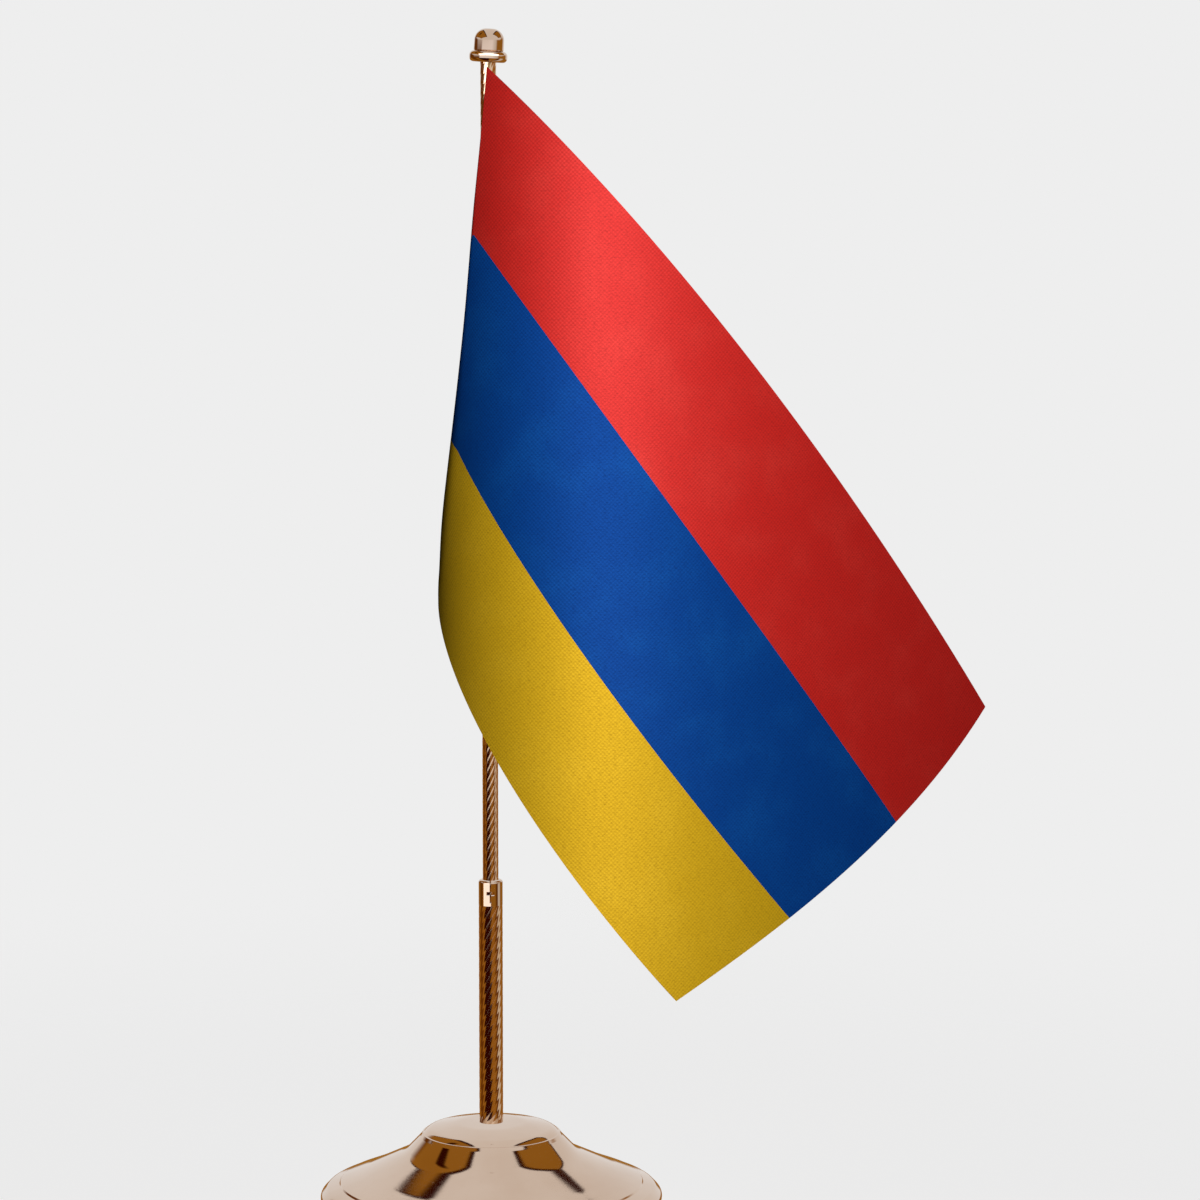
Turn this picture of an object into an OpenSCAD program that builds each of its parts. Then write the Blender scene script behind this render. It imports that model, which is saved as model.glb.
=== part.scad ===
// Table flag stand: a weighted bell-shaped base, a two-section pole and a small striped flag.
// Millimetres. The origin is the centre of the felt underside, +Z runs up the pole and the flag
// flies towards +X.

/* [Base] */
// Diameter over the rolled rim
base_d = 97; // [92:1:104]
// Height of the flat top of the hub above the table
base_h = 23.6; // [23:0.2:26]
// Wall of the spun shell
shell_wall = 0.9; // [0.7:0.1:1.2]
// Thickness of the felt pad
felt_t = 1.2; // [1:0.1:1.6]

/* [Pole] */
// Outer diameter of the lower section and its ferrule
lower_d = 6.7; // [6.5:0.1:7.5]
// Length of the lower section without its ferrule
lower_l = 62.1; // [60:0.1:90]
// Height of the ferrule that shows
ferrule_h = 7.1; // [6:0.1:9]
// Outer diameter of the upper section
rod_d = 4.4; // [4:0.1:4.6]
// Height of the upper section above the ferrule when drawn out
rod_reach = 228; // [220:1:260]
// How far the upper section pushes down into the lower one
slide_travel = 40; // [20:1:40]
// Radial clearance where one part slides or turns on another
running_gap = 0.05; // [0.02:0.01:0.1]

/* [Finial] */
// Diameter of the flange under the cap
flange_d = 10.5; // [9.5:0.1:12]
// Thickness of the flange
flange_t = 3.1; // [2.6:0.1:3.6]
// Diameter of the domed cap
cap_d = 8.3; // [7.6:0.1:9]
// Height of the domed cap
cap_h = 6.1; // [5.6:0.1:7]

/* [Flag] */
// Length of the flag from hoist to fly, before it is hung
flag_fly = 225; // [200:1:240]
// Height of the flag along its hoist
flag_hoist = 150; // [140:1:155]
// Thickness of the cloth
cloth_t = 0.6; // [0.4:0.1:0.8]
// Diameter of the cord sewn along the hoist
cord_d = 0.6; // [0.5:0.1:0.8]

/* [Hidden] */

$fn = 96;
eps = 0.01;

// Colours
BRASS = [0.78, 0.64, 0.52];
DARK_BRASS = [0.55, 0.36, 0.16];
STEEL = [0.62, 0.62, 0.64];
IRON = [0.25, 0.25, 0.26];
FELT = [0.08, 0.16, 0.11];
RED = [0.86, 0.13, 0.10];
BLUE = [0.03, 0.25, 0.58];
AMBER = [0.92, 0.70, 0.14];
GOLD = [0.75, 0.55, 0.20];

// Base, from the table up
base_r = base_d / 2;
plate_t = 1;
plate_top = felt_t + plate_t;
rim_gap = 0.8;                       // rolled rim above the table
hub_under = base_h - shell_wall;     // underside of the hub
seat_r = 8;                          // disc of the weight that carries the hub

// Clamping stack: nut, split washer and flat washer in a pocket under the weight
stud_r = 2;
nut_across = 7;
nut_t = 3.2;
lock_t = 0.9;
washer_t = 0.8;
pocket_r = 5.5;
pocket_top = plate_top + 6;
washer_z = pocket_top - washer_t;
lock_z = washer_z - lock_t;
nut_z = lock_z - nut_t;

// Pole, from the hub up
lower_r = lower_d / 2;
lower_bore = lower_r - 0.6;
rod_r = rod_d / 2;
rod_bore = rod_r - 0.45;
plug_l = 7;
ferrule_z = base_h + lower_l;
ferrule_top = ferrule_z + ferrule_h;
spigot_l = 6;                        // part of the ferrule inside the lower section
sleeve_l = 6;
rod_z = ferrule_z - spigot_l;        // lower end of the upper section, drawn out
sleeve_z = rod_z - sleeve_l - running_gap;
neck_r = 1.5;
foot_head_l = 1.5;
rod_top = ferrule_top + rod_reach;
recess_t = 1;                        // recess under the flange, for the rod's end and the cord's loop
recess_r = 3.2;
flange_z = rod_top - recess_t;
cap_z = flange_z + flange_t;
tip_r = 1.2;                         // thread that carries the cap
tip_top = cap_z + 4;

// Flag
drape_k = flag_fly / 225;            // the drape below is drawn for a fly of 225
corner_z = flange_z - 1.4;           // upper hoist corner, just under the flange
cord_r = cord_d / 2;
cord_path_r = rod_r + 0.1 + cord_r;  // centre line of the cord round the pole
edge_r = cord_path_r + cord_r + 0.4; // hoist edge of the cloth, outside the cord

// Drape of the flag, in front view: x to the fly, z down from the upper hoist corner
TOP_EDGE = [[0, 0], [54, -49], [107, -125], [143.2, -186]];
HEM_EDGE = [[-14.8, -149.5], [-14.9, -180.3], [50.8, -257], [51.8, -258]];
FLY_BULGE = [2, -5];
FLY_SHOULDER = [4, -4];
FOLD_BULGE = [1.2, -1];
MIDDLE_SAG = [-10, -14];
STRIPE_SPREAD = 68;
// Depth of the drape: a round nose in front of the pole, then a long sweep back to the fly
nose_x = 28;
nose_r = 44.5;
nose_y = -16;
sweep = 1.1;
sweep_r = 57;

// ---------- plane helpers ----------

function unit(v) = v / norm(v);

// Outline through corners [x, y, fillet radius], each corner replaced by its tangent arc
function filleted(c) = [for (i = [0 : len(c) - 1])
    let (p = [c[i].x, c[i].y], r = c[i].z, first = i == 0, last = i == len(c) - 1)
    if (r == 0 || first || last) p
    else let (a = unit([c[i - 1].x, c[i - 1].y] - p), b = unit([c[i + 1].x, c[i + 1].y] - p),
              half = acos(a * b) / 2, mid = p + unit(a + b) * r / sin(half),
              from = p + a * r / tan(half) - mid, to = p + b * r / tan(half) - mid,
              turn = 180 - 2 * half, side = sign(from.x * to.y - from.y * to.x),
              start = atan2(from.y, from.x), steps = max(2, ceil(turn / 9)))
        each [for (k = [0 : steps]) mid + r * [cos(start + side * turn * k / steps),
                                               sin(start + side * turn * k / steps)]]];

module ring(outer, inner, height, z = 0) {
    translate([0, 0, z]) difference() {
        cylinder(r = outer, h = height);
        translate([0, 0, -eps]) cylinder(r = inner, h = height + 2 * eps);
    }
}

// ---------- base ----------

// Shoulders of the bell, from the hub to the rim, sunk by d below the outer surface
function bell(d) = [
    [9.6, base_h - d, 10],
    [17.8 - 0.3 * d, base_h - 1.6 - d, 1.2],
    [24.6 - 0.5 * d, base_h - 8.6 - d, 9 + d],
    [base_r - 2.4 - 0.6 * d, rim_gap + 5.1 - d, 3],
    [base_r - d, rim_gap + 2.2 - 0.4 * d, 2]];

module base_shell() {
    outer = filleted(concat([[stud_r + 0.1, base_h, 0]], bell(0),
                            [[base_r - 0.6, rim_gap, 0.5], [base_r - 2.2, rim_gap, 0]]));
    inner = filleted(concat([[stud_r + 0.1, hub_under, 0]], bell(shell_wall),
                            [[base_r - 2.2, rim_gap + 0.6, 0]]));
    color(BRASS) rotate_extrude()
        polygon(concat(outer, [for (i = [len(inner) - 1 : -1 : 0]) inner[i]]));
}

module base_weight() {
    under = shell_wall + 0.6;
    color(IRON) difference() {
        rotate_extrude() polygon([
            [0, plate_top], [base_r - 5, plate_top], [base_r - 5, plate_top + 1.6],
            [27, base_h - 10.5 - under], [22.5, base_h - 8 - under], [16, base_h - 2.6 - under],
            [seat_r, base_h - 0.8 - under], [seat_r, hub_under], [0, hub_under]]);
        translate([0, 0, plate_top - eps]) cylinder(r = pocket_r, h = pocket_top - plate_top + eps);
        translate([0, 0, plate_top]) cylinder(r = stud_r + 0.2, h = base_h);
    }
}

module backing_plate() {
    color(STEEL) translate([0, 0, felt_t]) cylinder(r = base_r - 3.2, h = plate_t);
}

module felt_pad() {
    color(FELT) cylinder(r = base_r - 3.6, h = felt_t);
}

module foot_stud() {
    color(STEEL) translate([0, 0, nut_z - 0.6]) cylinder(r = stud_r, h = base_h + plug_l - 1 - nut_z);
}

module clamp_washer() {
    color(STEEL) ring(4.5, stud_r + 0.15, washer_t, washer_z);
}

// Split spring washer: a ring with one narrow cut
module lock_washer() {
    color(STEEL) difference() {
        ring(3.6, stud_r + 0.1, lock_t, lock_z);
        translate([0, -0.35, lock_z - eps]) cube([5, 0.7, lock_t + 2 * eps]);
    }
}

module clamp_nut() {
    color(STEEL) difference() {
        translate([0, 0, nut_z]) cylinder(d = nut_across / cos(30), h = nut_t, $fn = 6);
        translate([0, 0, nut_z - eps]) cylinder(r = stud_r, h = nut_t + 2 * eps);
    }
}

// ---------- pole ----------

module foot_plug() {
    color(DARK_BRASS) ring(lower_bore, stud_r, plug_l, base_h);
}

module lower_tube() {
    color(BRASS) ring(lower_r, lower_bore, lower_l, base_h);
}

// Collar with a spigot in the lower section, a fine slit and a cross window at its front
module ferrule() {
    slit_w = 0.4;
    window = [2.2, 1.1];
    color(BRASS) difference() {
        union() {
            translate([0, 0, ferrule_z - spigot_l]) cylinder(r = lower_bore, h = spigot_l + 1);
            translate([0, 0, ferrule_z]) rotate_extrude() polygon(filleted([
                [0, 0, 0], [lower_r, 0, 0], [lower_r, ferrule_h, 0.7], [0, ferrule_h, 0]]));
        }
        translate([0, 0, ferrule_z - spigot_l - eps])
            cylinder(r = rod_r + running_gap, h = spigot_l + ferrule_h + 2 * eps);
        translate([-slit_w / 2, -lower_r - 1, ferrule_z + 0.8])
            cube([slit_w, lower_r, ferrule_h]);
        translate([-window.x / 2, -lower_r - 1, ferrule_z + 3])
            cube([window.x, lower_r, window.y]);
    }
}

// Plug in the lower end of the upper section: it carries the guide sleeve on a neck
module rod_foot() {
    color(DARK_BRASS) union() {
        translate([0, 0, sleeve_z - running_gap - foot_head_l]) cylinder(r = 2.4, h = foot_head_l);
        translate([0, 0, sleeve_z - 1]) cylinder(r = neck_r, h = sleeve_l + 2);
        translate([0, 0, rod_z]) cylinder(r = rod_bore, h = 6);
    }
}

module guide_sleeve() {
    color("white") ring(lower_bore - running_gap, neck_r + running_gap,
                        sleeve_l - running_gap, sleeve_z);
}

module upper_tube() {
    color(BRASS) ring(rod_r, rod_bore, rod_top - rod_z, rod_z);
}

module top_plug() {
    color(DARK_BRASS) union() {
        translate([0, 0, rod_top - 9]) cylinder(r = rod_bore, h = 9);
        translate([0, 0, rod_top - 1]) cylinder(r = tip_r, h = tip_top - rod_top + 1);
    }
}

// ---------- finial ----------

module finial_flange() {
    r = flange_d / 2;
    color(BRASS) translate([0, 0, flange_z]) rotate_extrude() polygon(filleted([
        [tip_r + 0.1, recess_t, 0], [recess_r, recess_t, 0], [recess_r, 0, 0],
        [r, 0, 1.2], [r, flange_t, 1.4], [tip_r + 0.1, flange_t, 0]]));
}

module finial_cap() {
    r = cap_d / 2;
    color(BRASS) difference() {
        translate([0, 0, cap_z]) rotate_extrude() polygon(filleted([
            [0, 0, 0], [r, 0, 0.3], [r, cap_h, r - 0.75], [0, cap_h, 0]]));
        translate([0, 0, cap_z - eps]) cylinder(r = tip_r + running_gap, h = tip_top - cap_z + 0.3);
    }
}

// ---------- flag ----------

function bezier(p, t) = pow(1 - t, 3) * p[0] + 3 * pow(1 - t, 2) * t * p[1]
    + 3 * (1 - t) * t * t * p[2] + pow(t, 3) * p[3];
function ease(t) = let (c = min(max(t, 0), 1)) c * c * (3 - 2 * c);

// Depth of the front of the drape at x
function depth(x) = let (d = x - nose_x)
    d < 0 ? nose_y + nose_r - sqrt(max(nose_r * nose_r - d * d, 1))
          : nose_y + sweep * (sqrt(d * d + sweep_r * sweep_r) - sweep_r);

// Front of the flag: u from the left fold to the fly, v from the top edge to the hem
function front(u, v) =
    let (edge = (1 - v) * bezier(TOP_EDGE, u) + v * bezier(HEM_EDGE, u),
         fly = u * FLY_BULGE + u * u * ((0.65 - v) * FLY_SHOULDER + (1 - u) * v * MIDDLE_SAG),
         p = edge + 4 * v * (1 - v) * (fly + pow(1 - u, 2) * FOLD_BULGE),
         spread = pow(1 - u, 2) * v * (1 - v) * (1 - 2 * v) * STRIPE_SPREAD)
    drape_k * [p.x, depth(p.x), p.y + spread] + [0, 0, corner_z];

// The hoist winds from the front of the pole round to its back left over the upper half
function wind(v) = 270 - 120 * ease(2 * v);
function round_pole(r, a, z) = [r * cos(a), r * sin(a), z];
function hoist(v) = round_pole(edge_r, wind(v), corner_z - flag_hoist * v);

// Fold behind the front: from the hoist at t = 0 back, round and forward to the front at t = 1,
// which it meets along the front's own rows. Both ends reach further the lower the row.
leave_l = 84;
arrive_l = 58;
droop = 29;
function fold(t, v) =
    let (a = hoist(v), b = front(0, v), w = max(v, 0), heading = wind(v) - 75,
         from = a + (0.3 + leave_l * pow(w, 3)) * [cos(heading), sin(heading), 0],
         to = b + (0.4 + arrive_l * pow(w, 2.5)) * unit(b - front(0.01, v)))
    bezier([a, from, to, b], t) - [0, 0, droop * v * t * (1 - t)];

// The whole cloth: w from -1 at the hoist, through 0 at the fold, to 1 at the fly
function cloth(w, v) = w < 0 ? fold(1 + w, v) : front(w, v);
function cloth_normal(w, v) = let (h = 0.004)
    unit(cross(cloth(min(w + h, 1), v) - cloth(max(w - h, -1), v), cloth(w, v + h) - cloth(w, v - h)));

fold_steps = 14;
front_steps = 22;
stripe_steps = 8;
COLUMNS = concat([for (i = [0 : fold_steps - 1]) i / fold_steps - 1],
                 [for (i = [0 : front_steps]) i / front_steps]);

// Closed skin over two grids of points, the second one behind the first
function skin_faces(nc, nr) =
    let (w = nc + 1, m = w * (nr + 1),
         loop = concat([for (i = [0 : nc - 1]) i], [for (j = [0 : nr - 1]) j * w + nc],
                       [for (i = [nc : -1 : 1]) nr * w + i], [for (j = [nr : -1 : 1]) j * w]))
    concat(
        [for (j = [0 : nr - 1], i = [0 : nc - 1], h = [0, 1]) let (a = j * w + i, c = a + w + 1)
            h == 0 ? [a, a + 1, c] : [a, c, c - 1]],
        [for (j = [0 : nr - 1], i = [0 : nc - 1], h = [0, 1]) let (a = m + j * w + i, c = a + w + 1)
            h == 0 ? [a, c, a + 1] : [a, c - 1, c]],
        [for (k = [0 : len(loop) - 1], h = [0, 1]) let (p = loop[k], q = loop[(k + 1) % len(loop)])
            h == 0 ? [q, p, m + p] : [q, m + p, m + q]]);

module stripe(number) {
    rows = [for (j = [0 : stripe_steps]) (number + j / stripe_steps) / 3];
    points = [for (side = [1, -1], v = rows, w = COLUMNS)
        cloth(w, v) + side * cloth_t / 2 * cloth_normal(w, v)];
    polyhedron(points, skin_faces(len(COLUMNS) - 1, stripe_steps));
}

module upper_stripe() { color(RED) stripe(0); }
module middle_stripe() { color(BLUE) stripe(1); }
module lower_stripe() { color(AMBER) stripe(2); }

// Cord: a loop round the pole in the flange's recess, down the hoist, one turn below the flag
turn_steps = 16;
run_steps = 24;
loop_pitch = cord_d + 0.1;
CORD = concat(
    [for (k = [0 : turn_steps]) round_pole(cord_path_r, 285 + 330 * (1 - k / turn_steps), flange_z + 0.5)],
    [round_pole(cord_path_r, 274, flange_z + 0.2)],
    [for (k = [1 : run_steps]) round_pole(cord_path_r, wind(k / run_steps),
                                          corner_z - 0.1 - flag_hoist * k / run_steps)],
    [for (k = [1 : turn_steps]) round_pole(cord_path_r, 150 - 360 * k / turn_steps,
                                           corner_z - 0.1 - flag_hoist - loop_pitch * k / turn_steps)]);

module hoist_cord() {
    sides = 8;
    last = len(CORD) - 1;
    points = [for (i = [0 : last])
        let (along = unit(CORD[min(i + 1, last)] - CORD[max(i - 1, 0)]),
             out = [CORD[i].x, CORD[i].y, 0], e1 = unit(out - (out * along) * along),
             e2 = cross(along, e1))
        each [for (k = [0 : sides - 1]) CORD[i] + cord_r * (cos(360 * k / sides) * e1
                                                            + sin(360 * k / sides) * e2)]];
    faces = concat(
        [[for (k = [0 : sides - 1]) k]],
        [for (i = [0 : last - 1], k = [0 : sides - 1], h = [0, 1])
            let (a = i * sides + k, b = i * sides + (k + 1) % sides)
            h == 0 ? [a, a + sides, b + sides] : [a, b + sides, b]],
        [[for (k = [sides - 1 : -1 : 0]) last * sides + k]]);
    color(GOLD) polyhedron(points, faces);
}

base_shell();
base_weight();
backing_plate();
felt_pad();
foot_plug();
foot_stud();
clamp_washer();
lock_washer();
clamp_nut();
lower_tube();
ferrule();
guide_sleeve();
rod_foot();
upper_tube();
top_plug();
finial_flange();
finial_cap();
upper_stripe();
middle_stripe();
lower_stripe();
hoist_cord();
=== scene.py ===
"""Looks of a table flag stand: polished bell base, twist-fluted pole, domed finial and a striped flag.

Lengths are in metres. The flag and the base follow the same outlines as the frame that is loaded first.
"""
from math import radians

import bpy
import numpy as np
from mathutils import Matrix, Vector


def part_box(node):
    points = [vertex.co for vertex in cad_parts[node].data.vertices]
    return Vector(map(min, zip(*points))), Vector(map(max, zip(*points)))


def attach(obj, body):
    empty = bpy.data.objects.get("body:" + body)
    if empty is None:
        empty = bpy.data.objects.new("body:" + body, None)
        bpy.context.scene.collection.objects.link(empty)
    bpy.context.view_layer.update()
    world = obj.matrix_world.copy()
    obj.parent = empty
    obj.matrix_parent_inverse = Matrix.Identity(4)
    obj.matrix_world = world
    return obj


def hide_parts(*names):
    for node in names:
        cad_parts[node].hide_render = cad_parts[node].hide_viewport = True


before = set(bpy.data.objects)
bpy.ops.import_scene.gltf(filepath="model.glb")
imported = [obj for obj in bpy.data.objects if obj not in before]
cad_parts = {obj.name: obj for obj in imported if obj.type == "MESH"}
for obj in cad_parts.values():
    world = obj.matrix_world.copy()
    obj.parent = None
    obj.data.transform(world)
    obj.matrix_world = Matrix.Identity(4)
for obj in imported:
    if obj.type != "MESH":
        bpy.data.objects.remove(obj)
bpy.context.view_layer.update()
MM = 0.001

# ---------------------------------------------------------------- camera and studio

CAMERA_PLACE = (0.0306, -1.25, 0.325)
CAMERA_TILT = 7.0                      # degrees below the horizon
CAMERA_LENS = 136.1
PAPER = 0.855                          # brightness of the plain surroundings
FILL = 0.03                            # even light from all round


def make_camera():
    """Long lens at the height of the finial, looking slightly down along +Y."""
    data = bpy.data.cameras.new("camera")
    data.lens, data.sensor_width = CAMERA_LENS, 36
    data.clip_start, data.clip_end = 0.05, 50
    camera = bpy.data.objects.new("camera", data)
    camera.location = CAMERA_PLACE
    camera.rotation_euler = (radians(90 - CAMERA_TILT), 0, 0)
    bpy.context.scene.collection.objects.link(camera)
    bpy.context.scene.camera = camera


make_camera()

# ---------------------------------------------------------------- shader expressions


class Wire:
    """A node's output on which Python arithmetic adds Math nodes."""

    def __init__(self, shop, socket):
        self.shop, self.socket = shop, socket

    def maths(self, operation, *others):
        values = dict(enumerate(others, 1))
        return self.shop.node("ShaderNodeMath", {"operation": operation}, {0: self, **values})

    def __add__(self, other):
        return self.maths("ADD", other)

    def __sub__(self, other):
        return self.maths("SUBTRACT", other)

    def __rsub__(self, other):
        return self.shop.value("SUBTRACT", other, self)

    def __mul__(self, other):
        return self.maths("MULTIPLY", other)

    def __truediv__(self, other):
        return self.maths("DIVIDE", other)

    def __pow__(self, other):
        return self.maths("POWER", other)

    __radd__ = __add__
    __rmul__ = __mul__

    def sin(self):
        return self.maths("SINE")

    def absolute(self):
        return self.maths("ABSOLUTE")

    def least(self, other):
        return self.maths("MINIMUM", other)

    def most(self, other):
        return self.maths("MAXIMUM", other)

    def band(self, low, high):
        """0 below low, 1 above high, smooth between."""
        settings = {"interpolation_type": "SMOOTHSTEP"}
        return self.shop.node("ShaderNodeMapRange", settings, {0: self, 1: low, 2: high})


class Shop:
    """Adds nodes to one node tree."""

    def __init__(self, tree):
        self.tree = tree
        tree.nodes.clear()

    def node(self, kind, settings=None, inputs=None, out=0):
        made = self.tree.nodes.new(kind)
        for name, value in (settings or {}).items():
            if name == "stops":
                self.fill_ramp(made.color_ramp, value)
            else:
                setattr(made, name, value)
        for key, value in (inputs or {}).items():
            self.feed(made.inputs[key], value)
        return made if out is None else Wire(self, made.outputs[out])

    def feed(self, socket, value):
        if isinstance(value, Wire):
            self.tree.links.new(value.socket, socket)
        else:
            socket.default_value = value

    @staticmethod
    def fill_ramp(ramp, stops):
        ramp.elements[0].position, ramp.elements[1].position = stops[0][0], stops[-1][0]
        for place, _ in stops[1:-1]:
            ramp.elements.new(place)
        for element, (_, colour) in zip(ramp.elements, stops):
            element.color = (*colour, 1)

    def value(self, operation, first, second):
        return self.node("ShaderNodeMath", {"operation": operation}, {0: first, 1: second})

    def mix(self, share, first, second):
        """Colour first where share is 0, second where it is 1."""
        return self.node("ShaderNodeMix", {"data_type": "RGBA"}, {0: share, 6: first, 7: second}, 2)

    def place(self, scale=(1, 1, 1), turn=(0, 0, 0)):
        """Object coordinates, turned and scaled."""
        where = self.node("ShaderNodeTexCoord", out="Object")
        return self.node("ShaderNodeMapping", {}, {"Vector": where, "Scale": scale, "Rotation": turn})

    def noise(self, where, scale, detail=3.0, roughness=0.5):
        return self.node("ShaderNodeTexNoise", {}, {
            "Vector": where, "Scale": scale, "Detail": detail, "Roughness": roughness})

    def stretch(self, vector, scale):
        return self.node("ShaderNodeMapping", {}, {"Vector": vector, "Scale": scale})

    def split(self, vector):
        """The three parts of a vector."""
        made = self.node("ShaderNodeSeparateXYZ", {}, {0: vector}, None)
        return [Wire(self, socket) for socket in made.outputs]

    def bump(self, height, distance, strength=1.0):
        return self.node("ShaderNodeBump", {}, {
            "Height": height, "Distance": distance, "Strength": strength})

    def surface(self, **sockets):
        """Principled surface to the material's output. Sockets are named with _ for a space."""
        inputs = {name.replace("_", " "): value for name, value in sockets.items()}
        made = self.node("ShaderNodeBsdfPrincipled", {}, inputs)
        self.node("ShaderNodeOutputMaterial", {}, {"Surface": made}, None)


def material(name):
    made = bpy.data.materials.new(name)
    made.use_nodes = True
    return made, Shop(made.node_tree)


# ---------------------------------------------------------------- materials

THREADS = 1710.0                       # yarns to the metre, each way
WEAVE_DEPTH = 0.32                     # how much of the deep colour the warp shows
CLOTH_METAL = 0.35
CLOTH_ROUGH = 0.64


def polished_metal(name, tint, shade, shine, grain):
    """Plated and polished metal: a cloudy film, fine hairlines round the turning axis, tiny specks."""
    made, shop = material(name)
    where = shop.place()
    x, y, z = shop.split(where)
    radius = (x * x + y * y) ** 0.5
    rings = shop.node("ShaderNodeCombineXYZ", {}, {0: radius, 1: z})
    hairline = shop.noise(rings, grain, 4.0, 0.7)
    film = shop.noise(where, 45.0, 4.0, 0.55)
    specks = shop.noise(where, 1400.0, 2.0, 0.6).band(0.68, 0.78)
    shop.surface(
        Base_Color=shop.mix(film.band(0.35, 0.75) * 0.6 + specks * 0.3, (*tint, 1), (*shade, 1)),
        Metallic=1.0,
        Roughness=shine + film * 0.05 + hairline.band(0.5, 0.8) * 0.05 + specks * 0.15,
        Normal=shop.bump(hairline + film * 0.3, 0.000004))
    return made


def woven_cloth(name, colour, deep, light, shine):
    """Plain weave on the cloth's own map, in metres: bright weft and darker warp lie over each other by
    turns, each weft yarn is uneven along its length, and the whole is a little cloudy."""
    made, shop = material(name)
    where = shop.node("ShaderNodeUVMap", {"uv_map": "cloth"})
    a, b, _ = shop.split(where)
    crossing = (a * (THREADS * np.pi)).sin() * (b * (THREADS * np.pi)).sin()
    weft_over = crossing.band(-0.9, 0.9)
    slub = shop.noise(shop.stretch(where, (700, 2600, 1)), 1.0, 2.0)
    knot = shop.noise(shop.stretch(where, (1500, 2000, 1)), 1.0, 1.0)
    cloud = shop.noise(where, 60.0, 3.0)
    uneven = slub.band(0.42, 0.72) * 0.32 + knot.band(0.60, 0.72) * 0.25
    shade = (1.0 - weft_over) * WEAVE_DEPTH + uneven
    yarn = shop.mix(cloud.band(0.4, 0.8) * 0.5, (*colour, 1), (*light, 1))
    shop.surface(
        Base_Color=shop.mix(shade, yarn, (*deep, 1)),
        Metallic=CLOTH_METAL,
        Roughness=CLOTH_ROUGH + shade * 0.1,
        Specular_IOR_Level=shine,
        Normal=shop.bump(weft_over + slub * 0.6, 0.00003))
    return made


def felt():
    """Matted green fibres: fine ones that vary the colour and coarser tufts that raise it."""
    made, shop = material("green_felt")
    where = shop.place()
    fibres = shop.noise(where, 2600.0, 6.0, 0.75)
    tufts = shop.noise(where, 380.0, 3.0)
    shop.surface(
        Base_Color=shop.mix(fibres, (0.012, 0.04, 0.022, 1), (0.06, 0.13, 0.08, 1)),
        Roughness=0.95,
        Sheen_Weight=0.5,
        Normal=shop.bump(fibres + tufts * 0.6, 0.0003))
    return made


def gold_cord():
    """Yarn with a metallic thread in it."""
    made, shop = material("gold_cord")
    fibres = shop.noise(shop.place(), 4200.0, 4.0, 0.7)
    shop.surface(
        Base_Color=shop.mix(fibres, (0.30, 0.16, 0.04, 1), (0.62, 0.40, 0.14, 1)),
        Metallic=0.5,
        Roughness=0.45 + fibres * 0.2,
        Normal=shop.bump(fibres, 0.00004))
    return made


def plain_metal(name, light, dark, rough):
    """Machined or cast metal that is mostly hidden: mottled colour and a light grain."""
    made, shop = material(name)
    grain = shop.noise(shop.place(), 700.0, 5.0, 0.65)
    shop.surface(
        Base_Color=shop.mix(grain, (*dark, 1), (*light, 1)),
        Metallic=0.9,
        Roughness=rough + grain * 0.2,
        Normal=shop.bump(grain, 0.00003))
    return made


def nylon():
    """Natural moulded plastic with a faint mottle."""
    made, shop = material("nylon")
    mottle = shop.noise(shop.place(), 500.0, 3.0)
    shop.surface(
        Base_Color=shop.mix(mottle, (0.78, 0.76, 0.70, 1), (0.88, 0.87, 0.83, 1)),
        Roughness=0.4 + mottle * 0.15,
        Normal=shop.bump(mottle, 0.00002))
    return made


ROSE_GOLD = (0.68, 0.53, 0.425)
ROSE_SHADE = (0.60, 0.44, 0.33)
BASE_METAL = polished_metal("plated_base", ROSE_GOLD, ROSE_SHADE, 0.04, 5200.0)
POLE_METAL = polished_metal("plated_pole", (0.74, 0.54, 0.38), (0.62, 0.40, 0.22), 0.07, 2600.0)
FERRULE_METAL = polished_metal("plated_ferrule", ROSE_GOLD, ROSE_SHADE, 0.02, 3600.0)
RED_CLOTH = woven_cloth(
    "red_cloth", (0.76, 0.012, 0.006), (0.42, 0.004, 0.002), (0.86, 0.04, 0.026), 0.7)
BLUE_CLOTH = woven_cloth(
    "blue_cloth", (0.0005, 0.064, 0.33), (0.0005, 0.032, 0.18), (0.004, 0.11, 0.44), 0.15)
AMBER_CLOTH = woven_cloth(
    "amber_cloth", (0.79, 0.48, 0.009), (0.45, 0.25, 0.003), (0.90, 0.57, 0.022), 0.25)
CORD = gold_cord()
FELT = felt()
STEEL = plain_metal("plated_steel", (0.70, 0.70, 0.72), (0.50, 0.50, 0.53), 0.25)
IRON = plain_metal("weight_iron", (0.14, 0.14, 0.15), (0.06, 0.06, 0.07), 0.6)
TURNED = plain_metal("turned_brass", (0.66, 0.48, 0.28), (0.48, 0.32, 0.16), 0.25)
NYLON = nylon()

# ---------------------------------------------------------------- mesh makers


def add_piece(name, points, faces, coat, smooth=35):
    """A mesh object at the origin from points and faces, shaded smooth up to an angle in degrees."""
    mesh = bpy.data.meshes.new(name)
    mesh.from_pydata(points.tolist(), [], faces.tolist() if isinstance(faces, np.ndarray) else faces)
    mesh.validate()
    mesh.polygons.foreach_set("use_smooth", np.ones(len(mesh.polygons), bool))
    mesh.set_sharp_from_angle(angle=radians(smooth))
    mesh.materials.append(coat)
    piece = bpy.data.objects.new(name, mesh)
    bpy.context.scene.collection.objects.link(piece)
    return piece


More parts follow.
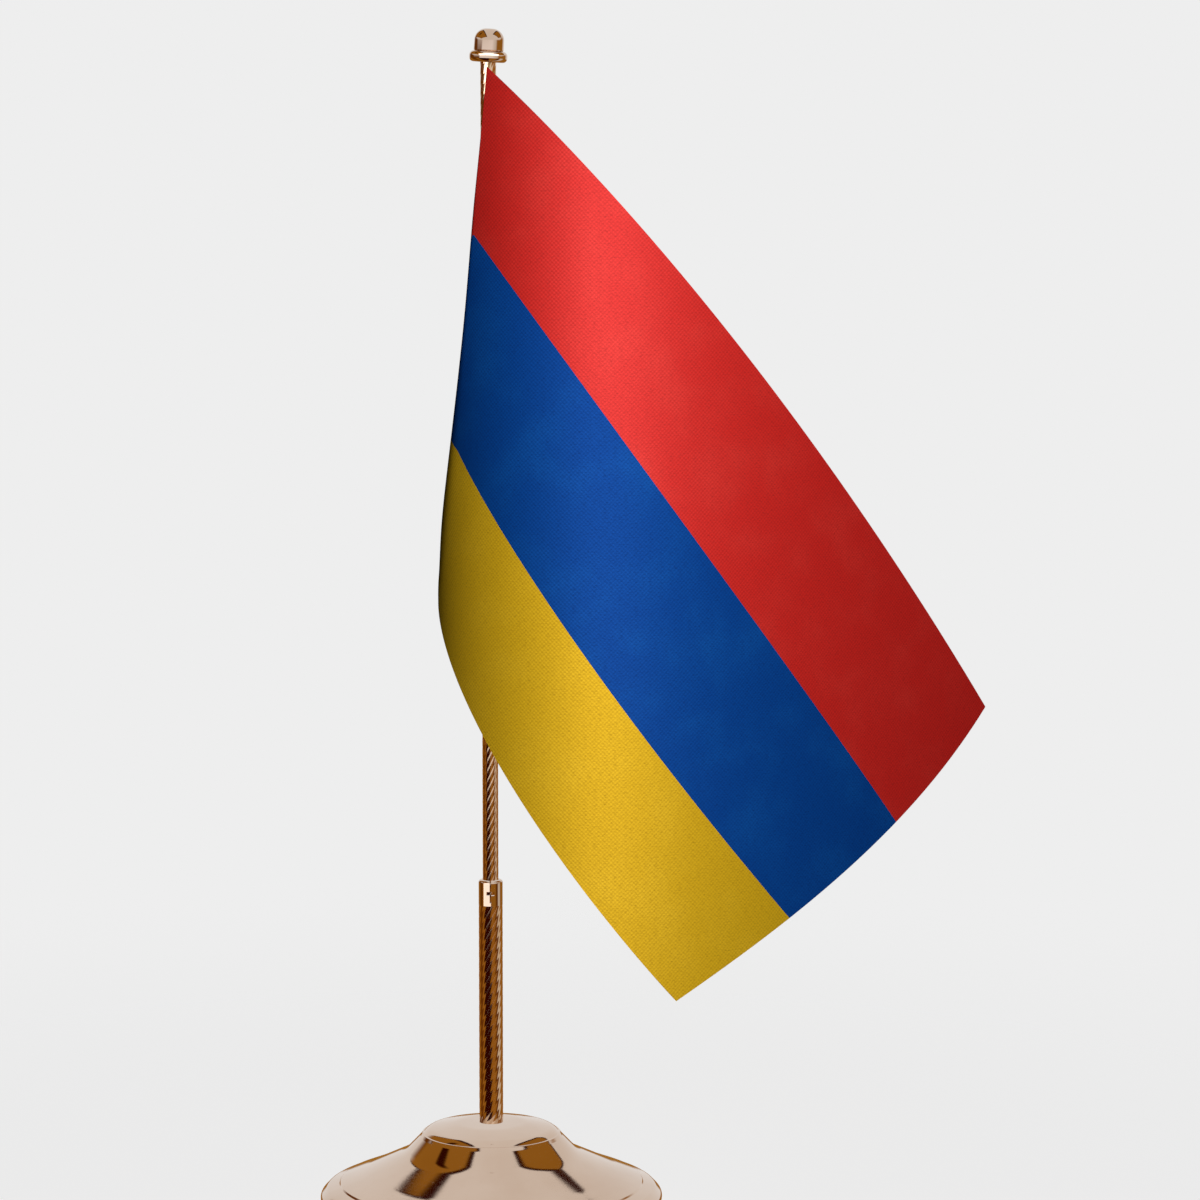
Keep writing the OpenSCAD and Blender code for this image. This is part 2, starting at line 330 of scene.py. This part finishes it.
def quads(rows, columns, wrap=False, flip=False):
    """Faces of a grid of points stored row by row. With wrap, the last column joins the first, and with
    flip they face the other way."""
    last = columns if wrap else columns - 1
    r, c = np.meshgrid(np.arange(rows - 1), np.arange(last), indexing="ij")
    right = (c + 1) % columns
    faces = np.stack([r * columns + c, r * columns + right,
                      (r + 1) * columns + right, (r + 1) * columns + c], -1).reshape(-1, 4)
    return faces[:, ::-1] if flip else faces


def rounded(corners, step=6.0):
    """Outline through corners (x, y, radius): each corner with a radius becomes its tangent arc, in
    steps of about so many degrees."""
    spots = np.array([c[:2] for c in corners], float)
    out = [spots[0][None]]
    for i in range(1, len(corners) - 1):
        p, r = spots[i], corners[i][2]
        if r == 0:
            out.append(p[None])
            continue
        a = (spots[i - 1] - p) / np.linalg.norm(spots[i - 1] - p)
        b = (spots[i + 1] - p) / np.linalg.norm(spots[i + 1] - p)
        half = np.arccos(np.clip(a @ b, -1, 1)) / 2
        middle = p + (a + b) / np.linalg.norm(a + b) * r / np.sin(half)
        start, end = p + a * r / np.tan(half) - middle, p + b * r / np.tan(half) - middle
        turn = np.pi - 2 * half
        side = np.sign(start[0] * end[1] - start[1] * end[0])
        share = np.linspace(0, 1, max(3, int(turn / radians(step)) + 2))
        t = np.arctan2(start[1], start[0]) + side * turn * share
        out.append(middle + r * np.stack([np.cos(t), np.sin(t)], -1))
    out.append(spots[-1][None])
    return np.concatenate(out)


def lathe(name, outline, coat, around=192):
    """A closed outline of (radius, height) turned about Z. Points on the axis become one pole each. An
    outline off the axis ends on its first point."""
    angle = np.linspace(0, 2 * np.pi, around, endpoint=False)
    r, z = outline[:, :1], outline[:, 1:]
    points = np.stack([r * np.cos(angle), r * np.sin(angle), z + 0 * angle], -1).reshape(-1, 3)
    index = np.arange(len(points)).reshape(-1, around)
    poles = np.abs(outline[:, 0]) < 1e-9
    index[poles] = index[poles][:, :1]
    if np.allclose(outline[0], outline[-1]):
        index[-1] = index[0]
    faces = index.reshape(-1)[quads(len(outline), around, wrap=True)]
    used, packed = np.unique(faces, return_inverse=True)
    faces = packed.reshape(-1, 4)
    trimmed = [list(dict.fromkeys(face)) for face in faces.tolist()]
    trimmed = [face for face in trimmed if len(face) > 2]
    return add_piece(name, points[used], trimmed, coat)


# ---------------------------------------------------------------- base

base_low, base_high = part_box("base_shell")
BASE_R = base_high.x
BASE_H = base_high.z
RIM_Z = base_low.z
FELT_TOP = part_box("felt_pad")[1].z


def bell_outline():
    """The spun bell in half section: domed hub, crisp bead under its shoulder, hollow flank, long
    skirt, a fine step inside the rim, the rolled rim, and back up inside by the wall's thickness."""
    wall = 0.9 * MM
    top, low, edge = BASE_H, RIM_Z, BASE_R
    outside = [
        (0, top, 0), (9.6 * MM, top - 0.12 * MM, 14 * MM), (17.8 * MM, top - 1.65 * MM, 4.5 * MM),
        (18.95 * MM, top - 2.85 * MM, 0.3 * MM), (19.35 * MM, top - 2.9 * MM, 0.25 * MM),
        (19.95 * MM, top - 3.85 * MM, 0.4 * MM), (24.6 * MM, top - 8.7 * MM, 9 * MM),
        (36 * MM, top - 14.1 * MM, 30 * MM), (42.5 * MM, low + 6.1 * MM, 0.2 * MM),
        (42.8 * MM, low + 5.6 * MM, 0.2 * MM), (edge - 2.2 * MM, low + 4.5 * MM, 2.5 * MM),
        (edge, low + 2.2 * MM, 1.8 * MM), (edge - 0.6 * MM, low, 0.6 * MM), (edge - 2.2 * MM, low, 0)]
    inside = [
        (edge - 2.2 * MM, low + wall, 0), (edge - 1.6 * MM, low + 1.6 * MM, 0.4 * MM),
        (edge - 5 * MM, low + 4.2 * MM, 2 * MM), (25 * MM, top - 10.2 * MM, 9 * MM),
        (17 * MM, top - 2.9 * MM, 3 * MM), (0, top - wall, 0)]
    return np.concatenate([rounded(outside), rounded(inside)])[::-1]


def make_base():
    """The bell and the felt disc that it stands on, whose edges are slightly rounded."""
    bell = lathe("bell", bell_outline(), BASE_METAL, 256)
    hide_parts("base_shell")
    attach(bell, "stand")
    pad_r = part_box("felt_pad")[1].x
    pad = lathe("felt_disc", rounded([(0, 0, 0), (pad_r, 0, 0.35 * MM), (pad_r, FELT_TOP, 0.3 * MM),
                                      (0, FELT_TOP, 0)]), FELT)
    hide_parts("felt_pad")
    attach(pad, "stand")


make_base()

# ---------------------------------------------------------------- pole


GROOVE = 0.055 * MM
TUBE_WALL = 0.45 * MM


def fluted_tube(name, node, starts, pitch):
    """A tube with helical flutes. Its radius is the node's less a groove that is deepest between two
    strands, by the sine of half the strand's angle, and the whole section turns with height."""
    low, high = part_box(node)
    outer = high.x
    rows = int((high.z - low.z) / MM) + 1
    height = np.linspace(low.z, high.z, rows)[:, None]
    per_strand = 14
    turn = np.linspace(0, 2 * np.pi, starts * per_strand, endpoint=False)[None]
    strand = np.abs(np.sin(starts * turn / 2))
    radius = outer - GROOVE * (1 - strand)
    angle = turn + 2 * np.pi * (height - low.z) / pitch
    radius = radius + 0 * height
    wall = np.stack([radius * np.cos(angle), radius * np.sin(angle), height + 0 * angle], -1)
    bore = outer - TUBE_WALL
    inner = np.stack([bore * np.cos(angle), bore * np.sin(angle), height + 0 * angle], -1)[::-1]
    points = np.concatenate([wall, inner, wall[:1]])
    count = points.shape[1]
    faces = quads(2 * rows, count, wrap=True)
    close = quads(2, count, wrap=True)
    close = np.where(close >= count, close - count, close + (2 * rows - 1) * count)
    faces = np.concatenate([faces, close])
    piece = add_piece(name, points[:-1].reshape(-1, 3), faces, POLE_METAL, 50)
    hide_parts(node)
    return piece


def make_pole():
    """Two sections: 12 flutes that go round in 37 mm below, and 10 that go round in 28 mm above."""
    lower = fluted_tube("lower_section", "lower_tube", 12, 37 * MM)
    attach(lower, "stand")
    upper = fluted_tube("upper_section", "upper_tube", 10, 28 * MM)
    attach(upper, "upper_section")
    return lower, upper


LOWER, UPPER = make_pole()

# ---------------------------------------------------------------- finial

FLANGE_LOW, FLANGE_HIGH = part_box("finial_flange")
CAP_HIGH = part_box("finial_cap")[1]
FLANGE_Z = FLANGE_LOW.z
FINIAL_LEAN = radians(3.4)
SCREW_R = 1.3 * MM
RECESS_R = 3.2 * MM


def make_finial():
    """Domed cap on a thick rounded flange, screwed on a little askew. The flange is recessed below for
    the pole's end and the cord's loop, and both are bored for the screw. The dome is a shade lower than
    its node, which leaves room for the lean."""
    lean = Matrix.Rotation(FINIAL_LEAN, 4, "Y")
    seat = Matrix.Translation((0, 0, FLANGE_Z + MM))
    flange_r, flange_top, cap_r = FLANGE_HIGH.x, FLANGE_HIGH.z, CAP_HIGH.x
    cap_top, bore_top = CAP_HIGH.z - 0.06 * MM, flange_top + 4.3 * MM
    recess = FLANGE_Z + 1.2 * MM
    flange = rounded([
        (SCREW_R, recess, 0), (RECESS_R, recess, 0), (RECESS_R, FLANGE_Z, 0.1 * MM),
        (flange_r, FLANGE_Z, 1.2 * MM), (flange_r, flange_top, 1.4 * MM), (SCREW_R, flange_top, 0),
        (SCREW_R, recess, 0)])
    cap = rounded([
        (0, bore_top, 0), (SCREW_R, bore_top, 0), (SCREW_R, flange_top, 0),
        (cap_r, flange_top, 0.3 * MM), (cap_r - 0.1 * MM, cap_top, cap_r - 0.9 * MM),
        (0, cap_top, 0)], 4)
    made = []
    for name, node, outline in (("flange", "finial_flange", flange), ("acorn_cap", "finial_cap", cap)):
        piece = lathe(name, outline, FERRULE_METAL, 128)
        piece.data.transform(seat @ lean @ seat.inverted())
        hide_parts(node)
        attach(piece, "finial")
        made.append(piece)
    return made


FLANGE = make_finial()[0]

# ---------------------------------------------------------------- flag

HOIST = 150 * MM
CLOTH_T = 0.24 * MM
ROD_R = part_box("upper_tube")[1].x
CORNER_Z = FLANGE_Z - 1.4 * MM
CORD_R = 0.3 * MM
CORD_PATH_R = ROD_R + 0.1 * MM + CORD_R
EDGE_R = CORD_PATH_R + CORD_R + 0.25 * MM

TOP_EDGE = np.array([(0, 0), (54, -49), (107, -125), (143.2, -186)]) * MM
HEM_EDGE = np.array([(-14.8, -149.5), (-14.9, -180.3), (50.8, -257), (51.8, -258)]) * MM
FLY_BULGE = np.array([2, -5]) * MM
FLY_SHOULDER = np.array([4, -4]) * MM
FOLD_BULGE = np.array([1.2, -1]) * MM
MIDDLE_SAG = np.array([-10, -14]) * MM
SHOULDER_ROW = 0.65                    # below it the fly pulls in, above it swells
STRIPE_SPREAD = 68 * MM
FOLD_LEAVE = 0.3 * MM, 84 * MM         # handles of the fold's curve, at the top and what the hem adds
FOLD_ARRIVE = 0.4 * MM, 58 * MM
FOLD_DROOP = 29 * MM
NOSE_X, NOSE_R, NOSE_Y = 28 * MM, 44.5 * MM, -16 * MM
SWEEP, SWEEP_R = 1.1, 57 * MM


def bezier(p, t):
    """Cubic Bezier curve of the four points p at the shares t."""
    t = t[..., None]
    return (1 - t) ** 3 * p[0] + 3 * (1 - t) ** 2 * t * p[1] + 3 * (1 - t) * t * t * p[2] + t ** 3 * p[3]


def ease(t):
    """Three t squared less two t cubed, level at both ends."""
    t = np.clip(t, 0, 1)
    return t * t * (3 - 2 * t)


def depth(x):
    """Round nose in front of the pole, left of NOSE_X, then a hyperbola that sweeps back to the fly."""
    d = x - NOSE_X
    nose = NOSE_R - np.sqrt(np.maximum(NOSE_R ** 2 - np.minimum(d, 0) ** 2, MM ** 2))
    return NOSE_Y + np.where(d < 0, nose, SWEEP * (np.sqrt(d * d + SWEEP_R ** 2) - SWEEP_R))


def front(u, v):
    """Front of the flag, u from the fold to the fly and v from top to hem: the blend of the two edge
    curves, bulged at the fly and the fold and sagging between, with the stripes spread at the fold."""
    edge = (1 - v)[..., None] * bezier(TOP_EDGE, u) + v[..., None] * bezier(HEM_EDGE, u)
    bulge = u[..., None] * FLY_BULGE + ((1 - u) ** 2)[..., None] * FOLD_BULGE
    bulge += (u * u * (SHOULDER_ROW - v))[..., None] * FLY_SHOULDER
    bulge += (u * u * (1 - u) * v)[..., None] * MIDDLE_SAG
    p = edge + 4 * (v * (1 - v))[..., None] * bulge
    z = CORNER_Z + p[..., 1] + (1 - u) ** 2 * v * (1 - v) * (1 - 2 * v) * STRIPE_SPREAD
    return np.stack([p[..., 0], depth(p[..., 0]), z], -1)


def wind(v):
    """Angle of the hoist round the pole: at the front at the top, at the back left from half way down."""
    return np.radians(270 - 120 * ease(2 * v))


def round_pole(radius, angle, z):
    """Points at a radius, an angle and a height round the pole's axis."""
    return np.stack([radius * np.cos(angle), radius * np.sin(angle), z + 0 * angle], -1)


def fold(t, v):
    """The part behind the front: a Bezier loop that leaves the hoist backwards, comes round and meets
    the front along the front's own rows. Both of its handles grow towards the hem, and it droops."""
    start, end = round_pole(EDGE_R, wind(v), CORNER_Z - HOIST * v), front(0 * v, v)
    leave = round_pole(1, wind(v) - radians(75), 0 * v)
    leave *= (FOLD_LEAVE[0] + FOLD_LEAVE[1] * v ** 3)[..., None]
    arrive = end - front(0 * v + 0.01, v)
    arrive /= np.linalg.norm(arrive, axis=-1, keepdims=True)
    arrive *= (FOLD_ARRIVE[0] + FOLD_ARRIVE[1] * v ** 2.5)[..., None]
    loop = bezier([start, start + leave, end + arrive, end], t)
    loop[..., 2] -= FOLD_DROOP * v * t * (1 - t)
    return loop


CORD_LAY = 2.4 * MM                    # length in which each strand goes once round
TURN_DROP = 0.7 * MM


def running_mean(line, reach=3):
    """Each point becomes the mean of itself and its neighbours on both sides."""
    width = 2 * reach + 1
    padded = np.pad(line, ((reach, reach), (0, 0)), mode="edge")
    return sum(padded[k:k + len(line)] for k in range(width)) / width


def make_cord():
    """Three-strand cord: a loop round the pole in the flange's recess, down along the hoist, and a turn
    below the flag. Its section is three lobes, |cos| of one and a half times the angle, turned along it."""
    part = np.linspace(0, 1, 400)
    top = round_pole(CORD_PATH_R, np.radians(285 + 330 * (1 - part)), FLANGE_Z + 0.5 * MM)
    down = round_pole(CORD_PATH_R, wind(part), CORNER_Z - 0.1 * MM - HOIST * part)
    foot = round_pole(CORD_PATH_R, np.radians(150 - 360 * part), down[-1, 2] - TURN_DROP * part)
    route = np.concatenate([top, down[1:], foot[1:]])
    gone = np.concatenate([[0], np.cumsum(np.linalg.norm(np.diff(route, axis=0), axis=1))])
    rings = int(gone[-1] / (0.18 * MM))
    along = np.linspace(0, gone[-1], rings)
    line = np.stack([np.interp(along, gone, route[:, k]) for k in range(3)], -1)
    soft = running_mean(line)
    ahead = np.gradient(soft, axis=0)
    ahead /= np.linalg.norm(ahead, axis=1, keepdims=True)
    out = soft * (1, 1, 0)
    out -= (out * ahead).sum(1, keepdims=True) * ahead
    out /= np.linalg.norm(out, axis=1, keepdims=True)
    side = np.cross(ahead, out)
    sides = 18
    turn = np.linspace(0, 2 * np.pi, sides, endpoint=False)[None]
    strands = np.abs(np.cos(1.5 * turn - 3 * np.pi * along[:, None] / CORD_LAY))
    lobes = CORD_R * (0.78 + 0.22 * strands)
    points = (soft[:, None] + (lobes * np.cos(turn))[..., None] * out[:, None]
              + (lobes * np.sin(turn))[..., None] * side[:, None])
    ends = [list(range(sides))[::-1], list(range((rings - 1) * sides, rings * sides))]
    piece = add_piece("twisted_cord", points.reshape(-1, 3),
                      quads(rings, sides, wrap=True).tolist() + ends, CORD, 60)
    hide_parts("hoist_cord")
    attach(piece, "flag")
    return piece


ROPE = make_cord()

FOLD_STEPS, FRONT_STEPS, STRIPE_STEPS = 70, 250, 56


def cloth_grid():
    """Points, normals and flat coordinates of the whole flag, rows from the top edge to the hem. The
    front bends only about upright lines, so its flat coordinates are the way round and the height."""
    v = np.linspace(0, 1, 3 * STRIPE_STEPS + 1)[:, None]
    behind = np.linspace(0, 1, FOLD_STEPS, endpoint=False)[None]
    ahead = np.linspace(0, 1, FRONT_STEPS + 1)[None]
    points = np.concatenate([
        fold(behind + 0 * v, v + 0 * behind), front(ahead + 0 * v, v + 0 * ahead)], 1)
    normals = np.cross(np.gradient(points, axis=1), np.gradient(points, axis=0))
    normals /= np.linalg.norm(normals, axis=-1, keepdims=True)
    level = np.linspace(-20, 150, 1701) * MM
    reach = np.concatenate([[0], np.cumsum(np.hypot(np.diff(level), np.diff(depth(level))))])
    steps = np.diff(points[..., :2], axis=1, prepend=points[:, :1, :2])
    way_round = np.cumsum(np.linalg.norm(steps, axis=-1), 1)
    start = np.interp(points[:, FOLD_STEPS, 0], level, reach)
    way_round += (start - way_round[:, FOLD_STEPS])[:, None]
    return points, normals, np.stack([way_round, points[..., 2]], -1)


def cloth_skin(name, points, normals, flat, coat):
    """A thin closed sheet: the grid pushed out by half the thickness each way, joined round its rim."""
    rows, columns = points.shape[:2]
    both = np.concatenate([points + normals * CLOTH_T / 2, points - normals * CLOTH_T / 2])
    count = rows * columns
    index = np.arange(count).reshape(rows, columns)
    loop = np.concatenate([index[0, :-1], index[:-1, -1], index[-1, :0:-1], index[:0:-1, 0]])
    after = np.roll(loop, -1)
    faces = np.concatenate([
        quads(rows, columns), quads(rows, columns, flip=True) + count,
        np.stack([after, loop, loop + count, after + count], -1)])
    piece = add_piece(name, both.reshape(-1, 3), faces, coat, 60)
    uv = piece.data.uv_layers.new(name="cloth")
    corner = np.zeros(len(piece.data.loops), int)
    piece.data.loops.foreach_get("vertex_index", corner)
    both_flat = np.concatenate([flat, flat]).reshape(-1, 2)
    uv.data.foreach_set("uv", both_flat[corner].astype(np.float32).ravel())
    return piece


def make_flag():
    """Three stripes cut from one cloth, so that they meet edge to edge."""
    points, normals, flat = cloth_grid()
    made = []
    parts = [("red_stripe", "upper_stripe", "red_cloth", RED_CLOTH),
             ("blue_stripe", "middle_stripe", "blue_cloth", BLUE_CLOTH),
             ("amber_stripe", "lower_stripe", "amber_cloth", AMBER_CLOTH)]
    for number, (name, node, slot, coat) in enumerate(parts):
        rows = slice(number * STRIPE_STEPS, (number + 1) * STRIPE_STEPS + 1)
        piece = cloth_skin(name, points[rows], normals[rows], flat[rows], coat)
        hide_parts(node)
        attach(piece, "flag")
        made.append(piece)
    return made


FLAG = make_flag()

# ---------------------------------------------------------------- pieces kept from the frame


def coat_node(node, coat):
    """Gives a CAD piece that is shown as it is its finish."""
    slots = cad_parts[node].data.materials
    slots.clear()
    slots.append(coat)


for kept, coat in {
    "ferrule": FERRULE_METAL, "base_weight": IRON, "backing_plate": STEEL, "foot_plug": TURNED,
    "foot_stud": STEEL, "clamp_washer": STEEL, "lock_washer": STEEL, "clamp_nut": STEEL,
    "guide_sleeve": NYLON, "rod_foot": TURNED, "top_plug": TURNED,
}.items():
    coat_node(kept, coat)

# ---------------------------------------------------------------- surroundings


def make_floor():
    """A pale disc that fades out into the plain surroundings, and takes a soft shadow under the base."""
    made, shop = material("pale_floor")
    x, y, _ = shop.split(shop.place())
    shop.surface(Base_Color=(0.18, 0.18, 0.18, 1), Roughness=0.9, Specular_IOR_Level=0.0,
                 Emission_Color=(1, 1, 1, 1), Emission_Strength=0.82,
                 Alpha=1.0 - ((x * x + y * y) ** 0.5).band(0.15, 0.5))
    floor_r = 0.55
    turn = np.linspace(0, 2 * np.pi, 96, endpoint=False)
    disc = np.stack([floor_r * np.cos(turn), floor_r * np.sin(turn), 0 * turn], -1)
    floor = add_piece("floor", disc, [list(range(len(disc)))], made)
    floor.visible_glossy = floor.visible_diffuse = False


def make_world():
    """Plain paper to the camera and a low even fill on everything else."""
    world = bpy.data.worlds.new("studio")
    world.use_nodes = True
    bpy.context.scene.world = world
    shop = Shop(world.node_tree)
    path = shop.node("ShaderNodeLightPath", out="Is Camera Ray")
    colour = shop.mix(path, (FILL, FILL, FILL, 1), (PAPER, PAPER, PAPER, 1))
    made = shop.node("ShaderNodeBackground", {}, {0: colour, 1: 1.0})
    shop.node("ShaderNodeOutputWorld", {}, {0: made}, None)


def light_only(light, pieces):
    """Light reaches these pieces and no others."""
    group = bpy.data.collections.new(light.name + "_lit")
    for piece in pieces:
        group.objects.link(piece)
    light.light_linking.receiver_collection = group


def ring_of_light(shop, turn, stops):
    """Colours round the horizon, from straight behind over the left, the front and the right."""
    return shop.node("ShaderNodeValToRGB", {"stops": stops}, {0: turn})


def make_tent(pieces):
    """A round light tent, seen only in polished pieces. Its ceiling is bright with two brown panels in
    dark frames, the left one with a dark spot. Its horizon and what lies below it go round in broad
    bands from brown to white."""
    made, shop = material("tent")
    size = 3.0
    x, y, z = shop.split(shop.place((1 / size, 1 / size, 1 / size)))
    bright, beige = (0.86, 0.85, 0.84), (0.70, 0.66, 0.60)
    amber, brown, dark = (0.36, 0.16, 0.02), (0.16, 0.05, 0.004), (0.035, 0.003, 0.0005)
    white = (1.05, 1.05, 1.08)
    turn = shop.value("ARCTAN2", x, 0.0 - y) / (2 * np.pi) + 0.5

    level = ring_of_light(shop, turn, [
        (0.0, bright), (0.09, bright), (0.12, brown), (0.34, brown), (0.365, white),
        (0.57, white), (0.61, bright), (0.66, beige), (0.69, amber), (0.85, amber), (0.88, bright)])
    below = ring_of_light(shop, turn, [
        (0.0, amber), (0.15, amber), (0.19, brown), (0.26, brown), (0.29, amber), (0.32, amber),
        (0.35, dark), (0.50, dark), (0.53, amber), (0.63, amber), (0.66, brown), (0.70, brown),
        (0.72, beige), (0.77, beige), (0.80, amber)])
    ring = shop.mix(z.band(-0.07, -0.01), below, level)

    wide, deep = x.absolute() / z.most(0.05), y / z.most(0.05)
    left = 1.0 - x.band(-0.001, 0.001)
    far = left * (0.35 + wide * 1.3) + (1.0 - left) * 1.05
    inside = (wide - (0.41 - left * 0.12)).least(far - deep)
    inside = inside.least(deep + 0.4 + left * 0.8).least(2.2 - wide)
    spot = left * (1.0 - ((wide - 0.9) ** 2.0 * 0.12 + (deep - 0.2) ** 2.0).band(0.005, 0.022))
    panel = shop.mix(inside.band(0.07, 0.14) * (1.0 - spot), (*dark, 1), (*amber, 1))
    ceiling = shop.mix(inside.band(0.0, 0.03), (*bright, 1), panel)

    room = shop.mix((z - y.most(0.0) * 0.3).band(0.10, 0.30), ring, ceiling)
    glow = shop.node("ShaderNodeEmission", {}, {0: room, 1: 1.0})
    shop.node("ShaderNodeOutputMaterial", {}, {0: glow}, None)
    made.cycles.emission_sampling = "NONE"
    around = np.linspace(0, 2 * np.pi, 64, endpoint=False)[None]
    rise = np.linspace(-1.57, 1.57, 33)[:, None]
    ball = size * np.stack([np.cos(rise) * np.cos(around), np.cos(rise) * np.sin(around),
                            np.sin(rise) + 0 * around], -1)
    tent = add_piece("tent", ball.reshape(-1, 3), quads(33, 64, wrap=True), made)
    tent.visible_camera = tent.visible_diffuse = tent.visible_shadow = False
    light_only(tent, pieces)


def make_light(name, place, target, width, height, power, pieces):
    """A soft box aimed at a point, which lights only these pieces."""
    data = bpy.data.lights.new(name, "AREA")
    data.shape, data.size, data.size_y, data.energy = "RECTANGLE", width, height, power
    light = bpy.data.objects.new(name, data)
    light.location = place
    way = np.array(target, float) - np.array(place, float)
    down = np.arctan2(-way[2], np.hypot(way[0], way[1]))
    light.rotation_euler = (np.pi / 2 - down, 0, np.arctan2(way[1], way[0]) - np.pi / 2)
    bpy.context.scene.collection.objects.link(light)
    light_only(light, pieces)


SOFT_GOODS = FLAG + [bpy.data.objects["felt_disc"], ROPE]
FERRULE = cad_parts["ferrule"]
INNER = [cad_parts[node] for node in ("foot_plug", "foot_stud", "rod_foot", "guide_sleeve")]
for piece in FLAG + INNER + [LOWER, UPPER, FERRULE, ROPE]:
    piece.visible_glossy = False       # the polished base doesn't mirror them
HARD_GOODS = [piece for piece in bpy.context.scene.objects
              if piece.type == "MESH" and piece not in SOFT_GOODS]
make_tent(HARD_GOODS)
make_floor()
make_world()
make_light("flag_key", (0.10, -0.42, 0.22), (0.028, 0, 0.2), 0.10, 1.0, 3.65, SOFT_GOODS)
make_light("flag_back", (0.05, 1.4, 0.40), (0.05, 0, 0.2), 0.6, 0.6, 12, SOFT_GOODS)
make_light("ferrule_light", (-0.11, -0.17, 0.05), (0, 0, 0.089), 0.30, 0.10, 0.15, [FERRULE])
make_light("flange_light", (0.01, -0.10, 0.40), (0, 0, 0.321), 0.40, 0.12, 0.33, [FLANGE])
make_light("rod_light", (-0.07, -0.12, 0.318), (0, 0, 0.31), 0.15, 0.05, 0.06, [UPPER])
bpy.context.scene.view_settings.view_transform = "Standard"
